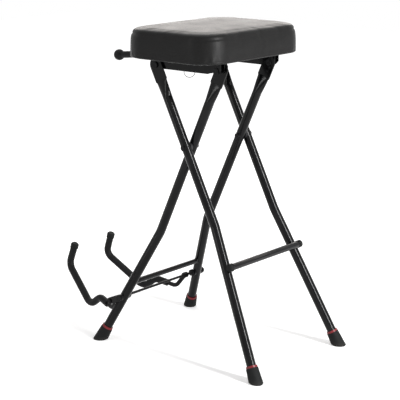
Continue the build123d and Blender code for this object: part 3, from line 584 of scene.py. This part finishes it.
# Sleeves of the cradle's arms, and sleeves and balls of the neck rest's prongs:
# soft black rubber, matt, with a fine skin.
sleeve_rubber = finish_of(
    "sleeve_rubber", rubber_group, {"Specular IOR Level": 0.12},
    sizes={"Grain scale": 900, "Bloom scale": 70, "Dusty height": 0.0001, "Smooth": 0.46, "Rough": 0.62},
    colours={"Black": (0.004, 0.004, 0.0045), "Bloom": (0.009, 0.009, 0.0095)},
    bump=0.0002,
)
dress(sleeve_rubber, "arm_sleeve_left", "arm_sleeve_right", "prong_sleeves", "prong_balls")


# Welds of the cradle's arms to the axle: a small bead round the axle at each face
# of the arm's end, painted with the rods.
arm_root_x = 0.129
arm_root_half = 0.006
axle_radius = 0.00325
axle_seam_steps = 40
axle_low, axle_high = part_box("cradle_axle")
axle_y, axle_z = (axle_low.y + axle_high.y) / 2, (axle_low.z + axle_high.z) / 2
points, edges = [], []
for side in (-1, 1):
    for face_x in (arm_root_x - arm_root_half, arm_root_x + arm_root_half):
        edges += closed_path(len(points), axle_seam_steps)
        for step in range(axle_seam_steps):
            turn = 2 * math.pi * step / axle_seam_steps
            across, up = axle_radius * math.cos(turn), axle_radius * math.sin(turn)
            points.append((side * face_x, axle_y + across, axle_z + up))
axle_bead = {"Bead radius": 0.0012, "Ripple": 0.0004, "Finish": satin_black}
axle_welds = grow("axle_welds", points, edges, weld_tree, axle_bead)
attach(axle_welds, "cradle")


# Seat board: plywood under a thin coat of black paint, through which the face
# grain stands up and shows a little.
ply_group, ply_in, ply_place = open_group(
    "painted_ply",
    {"Grain scale": 60, "Flat": 0.55, "Dry": 0.75},
    {"Paint": (0.004, 0.004, 0.004), "Thin": (0.014, 0.011, 0.009)},
)
ply_grain = add_noise(ply_group, ply_place, ply_in["Grain scale"], detail=6, stretch=(0.25, 6, 6))
ply_bare = add_range(ply_group, ply_grain, 0.5, 0.75, 0, 1)
close_group(
    ply_group,
    colour=add_blend(ply_group, ply_bare, ply_in["Paint"], ply_in["Thin"]),
    roughness=add_range(ply_group, ply_grain, 0.3, 0.7, ply_in["Flat"], ply_in["Dry"]),
    height=ply_grain,
)
painted_ply = finish_of(
    "painted_plywood", ply_group, {"Specular IOR Level": 0.15}, bump=0.0004, strength=0.6,
)
dress(painted_ply, "seat_board")


# Screws of the rails and of the guide: pan heads with a cross recess, in black
# oxide, each turned to its own angle. They replace the plain ones of the frame.
rail_screw = {"radius": 0.0045, "height": 0.0028, "shank_radius": 0.0025, "length": 0.011}
guide_screw = {"radius": 0.004, "height": 0.0024, "shank_radius": 0.002, "length": 0.010}
rail_screw_pitch = 0.066
rail_sheet, guide_sheet = 0.002, 0.003
guide_screw_edge = 0.008
screw_sides = 48
screw_tip = 0.0015
pan_profile = (
    (0.12, 1.0), (0.24, 0.99), (0.36, 0.98), (0.46, 0.96), (0.56, 0.94),
    (0.7, 0.88), (0.84, 0.75), (0.94, 0.55), (1.0, 0.3), (1.0, 0.0),
)
cross_depth, cross_half_width, cross_reach, cross_run_out = 0.55, 0.13, 0.55, 0.6
loose_turn = 1.5


def lay_rings(form, rings):
    """Joins rings of points into a skin."""
    loops = [[form.verts.new(point) for point in ring] for ring in rings]
    for lower, upper in zip(loops, loops[1:]):
        for k in range(len(lower)):
            form.faces.new((lower[k], lower[(k + 1) % len(lower)], upper[(k + 1) % len(lower)], upper[k]))
    return loops


def cast(form, name):
    """Turns a form's faces outwards and makes an object of it."""
    bmesh.ops.recalc_face_normals(form, faces=form.faces)
    mesh = bpy.data.meshes.new(name)
    form.to_mesh(mesh)
    form.free()
    return bpy.data.objects.new(name, mesh)


def screw_form(name, radius, height, shank_radius, length):
    """Pan head facing down with a cross recess, and its shank."""
    turns = [2 * math.pi * k / screw_sides for k in range(screw_sides)]
    rings = []
    for share, rise in pan_profile:
        ring = []
        for turn in turns:
            x, y = share * math.cos(turn), share * math.sin(turn)
            near, far = sorted((abs(x), abs(y)))
            in_cross = near < cross_half_width and far < cross_reach
            recess = cross_depth * (1 - far / cross_run_out) if in_cross else 0
            ring.append((x * radius, y * radius, -height * (rise - recess)))
        rings.append(ring)
    for width, level in ((shank_radius, 0), (shank_radius, length), (shank_radius * 0.3, length + screw_tip)):
        rings.append([(width * math.cos(turn), width * math.sin(turn), level) for turn in turns])
    form = bmesh.new()
    loops = lay_rings(form, rings)
    middle = form.verts.new((0, 0, -height * (1 - cross_depth)))
    for k in range(screw_sides):
        form.faces.new((middle, loops[0][(k + 1) % screw_sides], loops[0][k]))
    form.faces.new(list(reversed(loops[-1])))
    return cast(form, name)


def fixing_tree():
    """Geometry nodes that set one fixing on every point, turned by the point's own angle and a random one."""
    tree, given, result = open_tree("fixings", (
        ("Points", "Geometry", None),
        ("Fixing", "Object", None),
        ("Loose turn", "Float", 0.0),
        ("Seed", "Int", 7),
        ("Finish", "Material", None),
    ))
    own = tree.nodes.new("GeometryNodeInputNamedAttribute")
    own.data_type = "FLOAT"
    own.inputs["Name"].default_value = "turn"
    chance = tree.nodes.new("FunctionNodeRandomValue")
    chance.data_type = "FLOAT"
    total = tree.nodes.new("ShaderNodeMath")
    total.operation = "MULTIPLY_ADD"
    angles = tree.nodes.new("ShaderNodeCombineXYZ")
    spin = tree.nodes.new("FunctionNodeEulerToRotation")
    shape = tree.nodes.new("GeometryNodeObjectInfo")
    setting = tree.nodes.new("GeometryNodeInstanceOnPoints")
    solid = tree.nodes.new("GeometryNodeRealizeInstances")
    smooth = tree.nodes.new("GeometryNodeSetShadeSmooth")
    finish = tree.nodes.new("GeometryNodeSetMaterial")
    link = tree.links.new
    link(given["Fixing"], shape.inputs["Object"])
    link(given["Seed"], chance.inputs["Seed"])
    link(chance.outputs[1], total.inputs[0])
    link(given["Loose turn"], total.inputs[1])
    link(own.outputs["Attribute"], total.inputs[2])
    link(total.outputs["Value"], angles.inputs["Z"])
    link(angles.outputs["Vector"], spin.inputs["Euler"])
    link(given["Points"], setting.inputs["Points"])
    link(shape.outputs["Geometry"], setting.inputs["Instance"])
    link(spin.outputs["Rotation"], setting.inputs["Rotation"])
    link(setting.outputs["Instances"], solid.inputs["Geometry"])
    link(solid.outputs["Geometry"], smooth.inputs["Geometry"])
    link(smooth.outputs["Geometry"], finish.inputs["Geometry"])
    link(given["Finish"], finish.inputs["Material"])
    link(finish.outputs["Geometry"], result["Geometry"])
    return tree


fixings = fixing_tree()
board_bottom = round(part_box("seat_board")[0].z, 4)
rail_low, rail_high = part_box("seat_rail_right")
rail_x, rail_y = (rail_low.x + rail_high.x) / 2, (rail_low.y + rail_high.y) / 2
rail_places = [
    (side * rail_x, rail_y + step * rail_screw_pitch, board_bottom - rail_sheet)
    for side in (-1, 1) for step in (-1, 0, 1)
]
guide_low, guide_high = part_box("neck_guide")
guide_y = (guide_low.y + guide_high.y) / 2
guide_reach_x = (guide_high.x - guide_low.x) / 2 - guide_screw_edge
guide_reach_y = (guide_high.y - guide_low.y) / 2 - guide_screw_edge
guide_places = [
    (x * guide_reach_x, guide_y + y * guide_reach_y, board_bottom - guide_sheet)
    for x in (-1, 1) for y in (-1, 1)
]
screw_jobs = (
    ("rail_screw_set", "rail_screws", rail_places, screw_form("rail_screw_pattern", **rail_screw), 7),
    ("guide_screw_set", "guide_screws", guide_places, screw_form("guide_screw_pattern", **guide_screw), 11),
)
for set_name, plain_screws, places, pattern, seed in screw_jobs:
    values = {"Fixing": pattern, "Loose turn": loose_turn, "Seed": seed, "Finish": black_steel}
    screws = grow(set_name, places, [], fixings, values, turns=[0.0] * len(places))
    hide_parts(plain_screws)
    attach(screws, "seat")


# Cushion: foam under black vinyl, pulled over the board's edge. The foam's
# pressure rounds it, and the vinyl creases lightly where it turns the corners.
cushion_low, cushion_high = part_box("cushion")
seat_width = round(cushion_high.x - cushion_low.x, 4)
seat_depth = round(cushion_high.y - cushion_low.y, 4)
seat_back_shift = round((cushion_low.y + cushion_high.y) / 2, 4)
cushion_bottom, cushion_top = round(cushion_low.z, 4), round(cushion_high.z, 4)
seat_corner = 0.067
seat_edge_radius = 0.013
crown_radius = 3.4
start_inset, start_top = -0.0004, cushion_top - 0.0010
under_inset, top_draw = 0.002, 0.003
under_shares = (0.02, 0.25, 0.5, 0.75, 0.94)
top_shares = (0.88, 0.72, 0.5, 0.25, 0.02)
side_levels = (
    (cushion_bottom, 0.0015),
    (cushion_bottom + 0.003, 0),
    (0.728, 0),
    (0.745, 0.0008),
    (start_top - seat_edge_radius - 0.006, 0.0024),
)
edge_steps = 7
corner_steps = 18

vinyl_group, vinyl_in, vinyl_place = open_group(
    "grained_vinyl",
    {"Grain scale": 620, "Sheen scale": 14, "Polished": 0.37, "Matt": 0.46},
    {"Black": (0.004, 0.004, 0.0042), "Grey": (0.008, 0.0078, 0.0076)},
)
vinyl_warp = vinyl_group.nodes.new("ShaderNodeTexNoise")
vinyl_warp.inputs["Scale"].default_value = 260
vinyl_group.links.new(vinyl_place, vinyl_warp.inputs["Vector"])
vinyl_bend = vinyl_group.nodes.new("ShaderNodeVectorMath")
vinyl_bend.operation = "MULTIPLY_ADD"
vinyl_bend.inputs[1].default_value = (0.0016, 0.0016, 0.0016)
vinyl_group.links.new(vinyl_warp.outputs["Color"], vinyl_bend.inputs[0])
vinyl_group.links.new(vinyl_place, vinyl_bend.inputs[2])
vinyl_cells = vinyl_group.nodes.new("ShaderNodeTexVoronoi")
vinyl_cells.feature = "DISTANCE_TO_EDGE"
vinyl_group.links.new(vinyl_bend.outputs["Vector"], vinyl_cells.inputs["Vector"])
vinyl_group.links.new(vinyl_in["Grain scale"], vinyl_cells.inputs["Scale"])
# Furrows of the grain: they give the relief, and the colour is painted darker in them and greyer on the tops,
# as painted shade in the grain.
vinyl_furrow_and_shade = add_range(vinyl_group, vinyl_cells.outputs["Distance"], 0, 0.16, 0, 1)
vinyl_sheen = add_noise(vinyl_group, vinyl_place, vinyl_in["Sheen scale"], detail=4)
close_group(
    vinyl_group,
    colour=add_blend(vinyl_group, vinyl_furrow_and_shade, vinyl_in["Black"], vinyl_in["Grey"]),
    roughness=add_range(vinyl_group, vinyl_sheen, 0.3, 0.7, vinyl_in["Polished"], vinyl_in["Matt"]),
    height=vinyl_furrow_and_shade,
)
black_vinyl = finish_of(
    "black_vinyl", vinyl_group,
    {"Specular IOR Level": 0.08, "Coat Weight": 0.18, "Coat Roughness": 0.5, "Coat IOR": 1.3},
    bump=0.0001, strength=0.3,
)


def seat_outline(inset, steps=corner_steps):
    """Points of the seat's outline, drawn in by an inset."""
    half_x, half_y, corner = seat_width / 2 - inset, seat_depth / 2 - inset, seat_corner - inset
    outline = []
    for quarter, (sign_x, sign_y) in enumerate(((1, 1), (-1, 1), (-1, -1), (1, -1))):
        centre = (sign_x * (half_x - corner), sign_y * (half_y - corner) + seat_back_shift)
        for k in range(steps + 1):
            turn = math.pi / 2 * (quarter + k / steps)
            outline.append((centre[0] + corner * math.cos(turn), centre[1] + corner * math.sin(turn)))
    return outline


def shrunk(outline, share):
    """The outline drawn towards the seat's middle."""
    return [(x * share, (y - seat_back_shift) * share + seat_back_shift) for x, y in outline]


def crown(x, y, level):
    """Height of the domed top over a point."""
    return level - (x * x + (y - seat_back_shift) ** 2) / 2 / crown_radius


rings = []
for share in under_shares:
    outline = shrunk(seat_outline(start_inset + under_inset), share)
    rings.append([(x, y, cushion_bottom) for x, y in outline])
for level, draw in side_levels:
    rings.append([(x, y, level) for x, y in seat_outline(start_inset + draw)])
for step in range(1, edge_steps + 1):
    turn = math.pi / 2 * step / edge_steps
    inset = start_inset + top_draw + seat_edge_radius * (1 - math.cos(turn))
    drop = seat_edge_radius * (1 - math.sin(turn))
    rings.append([(x, y, crown(x, y, start_top) - drop) for x, y in seat_outline(inset)])
for share in top_shares:
    outline = shrunk(seat_outline(start_inset + top_draw + seat_edge_radius), share)
    rings.append([(x, y, crown(x, y, start_top)) for x, y in outline])
cushion_form = bmesh.new()
cushion_loops = lay_rings(cushion_form, rings)
cushion_form.faces.new(list(reversed(cushion_loops[0])))
cushion_form.faces.new(cushion_loops[-1])
seat_cushion = cast(cushion_form, "seat_cushion")
bpy.context.scene.collection.objects.link(seat_cushion)


# The vinyl's fullness: a cloth blown up by the foam's pressure, of which a share
# is kept, and none at the board, where the vinyl is held.
voxel = 0.004
cloth_pressure = 4
cloth_frames = 20
swell_share, swell_cap, plain_swell = 0.35, 0.0022, 0.003
even_share = 0.65
hold_start, hold_run = 0.002, 0.012
middle_level = (cushion_bottom + cushion_top) / 2

remesh = seat_cushion.modifiers.new("voxels", "REMESH")
remesh.mode = "VOXEL"
remesh.voxel_size = voxel
keep_as_mesh(seat_cushion)
flat_places = [vertex.co.copy() for vertex in seat_cushion.data.vertices]
cloth = seat_cushion.modifiers.new("vinyl", "CLOTH")
cloth.settings.use_pressure = True
cloth.settings.uniform_pressure_force = cloth_pressure
cloth.settings.effector_weights.gravity = 0
for frame_number in range(1, cloth_frames + 1):
    bpy.context.scene.frame_set(frame_number)
keep_as_mesh(seat_cushion)
bpy.context.scene.frame_set(1)
for vertex, flat in zip(seat_cushion.data.vertices, flat_places):
    shift = vertex.co - flat
    hold = min(1, max(0, (flat.z - cushion_bottom - hold_start) / hold_run))
    from_middle = Vector((flat.x, flat.y - seat_back_shift, flat.z - middle_level)).normalized()
    way = shift.normalized()
    out_share = even_share + (1 - even_share) * way.dot(from_middle)
    size = min(shift.length * swell_share * out_share, swell_cap) * hold
    vertex.co = flat + way * size
finer = seat_cushion.modifiers.new("finer", "SUBSURF")
finer.levels = 1
finer.render_levels = 1
keep_as_mesh(seat_cushion)


# Creases of the vinyl: a line under the rolled edge, deepest at the corners, and
# short radial puckers low on each corner where the vinyl is gathered.
crease_level = cushion_top - seat_edge_radius - 0.004
crease_depth, crease_half, crease_even_share = 0.0022, 0.003, 0.4
crease_wander, crease_wander_rate = 0.0015, 40
pucker_depth, pucker_height, pucker_count = 0.0009, 0.030, 64
unevenness, unevenness_rate = 0.0006, 30
corner_x, corner_y = seat_width / 2 - seat_corner, seat_depth / 2 - seat_corner
for vertex in seat_cushion.data.vertices:
    x, y, z = vertex.co.x, vertex.co.y - seat_back_shift, vertex.co.z
    beyond_x, beyond_y = abs(x) - corner_x, abs(y) - corner_y
    corner_share = 0
    if beyond_x > 0 and beyond_y > 0:
        corner_share = math.sin(2 * math.atan2(beyond_y, beyond_x))
    outward = Vector((x, y, 0)).normalized()
    rim = min(1, (abs(x) / seat_width * 2) ** 4 + (abs(y) / seat_depth * 2) ** 4)
    wander = crease_wander * math.sin(x * crease_wander_rate)
    line = math.exp(-((z - crease_level - wander) / crease_half) ** 2)
    groove = crease_depth * line * (crease_even_share + (1 - crease_even_share) * corner_share) * rim
    pucker = 0
    if z > cushion_bottom + 0.001:
        low = max(0, 1 - (z - cushion_bottom) / pucker_height)
        pucker = pucker_depth * corner_share * low * low * math.sin(math.atan2(y, x) * pucker_count)
    vertex.co -= outward * (groove + pucker * rim)
    vertex.co += outward * unevenness * noise.noise(vertex.co * unevenness_rate) * rim


# Hem: the vinyl's edge, turned under the board and lying there in small waves.
# Its upper rings are tucked into the cushion's side, so that no gap shows.
hem_profile = (
    (0.0065, 0.0020), (0.0040, -0.0001), (0.0010, -0.0002), (-0.0010, 0.0012),
    (-0.0022, 0.0060), (-0.0027, 0.0100), (-0.0028, 0.0190), (-0.0020, 0.0194),
)
hem_wave, hem_wave_rate, hem_inset_rate = 0.00035, 90, 200
waved_from, waved_to = 0.003, 0.019
hem_rings = []
for rise, inset in hem_profile:
    ring = []
    for x, y in seat_outline(inset):
        wave = 0
        if waved_from < inset < waved_to:
            wave_place = Vector((x * hem_wave_rate, y * hem_wave_rate, inset * hem_inset_rate))
            wave = hem_wave * noise.noise(wave_place)
        ring.append((x, y, cushion_bottom + rise + wave))
    hem_rings.append(ring)
hem_form = bmesh.new()
hem_form.from_mesh(seat_cushion.data)
lay_rings(hem_form, list(reversed(hem_rings)))
for face in hem_form.faces:
    face.smooth = True
hem_form.to_mesh(seat_cushion.data)
hem_form.free()
seat_cushion.data.materials.clear()
seat_cushion.data.materials.append(black_vinyl)
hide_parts("cushion")
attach(seat_cushion, "seat")


# Staples: flat steel wire, driven through the hem into the board at even steps
# and a little askew.
staple_half, staple_leg, staple_thick, staple_bend = 0.005, 0.004, 0.0005, 0.0006
staple_pitch = 0.018
staple_inset = 0.0145
staple_level = board_bottom - 0.0012
staple_askew, staple_askew_rate = 0.12, 60
staple_line_steps = 60


def staple_form():
    """One staple lying under the hem, its legs up."""
    line = [
        Vector(point) for point in (
            (-staple_half, 0, staple_leg), (-staple_half, 0, staple_bend), (staple_bend - staple_half, 0, 0),
            (staple_half - staple_bend, 0, 0), (staple_half, 0, staple_bend), (staple_half, 0, staple_leg),
        )
    ]
    rings = []
    for index, point in enumerate(line):
        before, after = line[max(0, index - 1)], line[min(len(line) - 1, index + 1)]
        broad = Vector((0, staple_thick, 0))
        thin = Vector((0, 1, 0)).cross((after - before).normalized()) * staple_thick / 2
        rings.append([point + broad * a + thin * b for a, b in ((-1, -1), (1, -1), (1, 1), (-1, 1))])
    form = bmesh.new()
    loops = lay_rings(form, rings)
    form.faces.new(list(reversed(loops[0])))
    form.faces.new(loops[-1])
    return cast(form, "staple_pattern")


staple_line = seat_outline(staple_inset, steps=staple_line_steps)
staple_points, staple_turns = [], []
gone = 0.0
for start, end in zip(staple_line, staple_line[1:] + staple_line[:1]):
    step = math.dist(start, end)
    while gone <= step:
        share = gone / step if step else 0
        x, y = start[0] + (end[0] - start[0]) * share, start[1] + (end[1] - start[1]) * share
        askew = staple_askew * noise.noise(Vector((x * staple_askew_rate, y * staple_askew_rate, 0)))
        staple_points.append((x, y, staple_level))
        staple_turns.append(math.atan2(end[1] - start[1], end[0] - start[0]) + askew)
        gone += staple_pitch
    gone -= step
staple_values = {"Fixing": staple_form(), "Loose turn": 0.0, "Seed": 3, "Finish": spring_wire}
staples = grow("hem_staples", staple_points, [], fixings, staple_values, turns=staple_turns)
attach(staples, "seat")
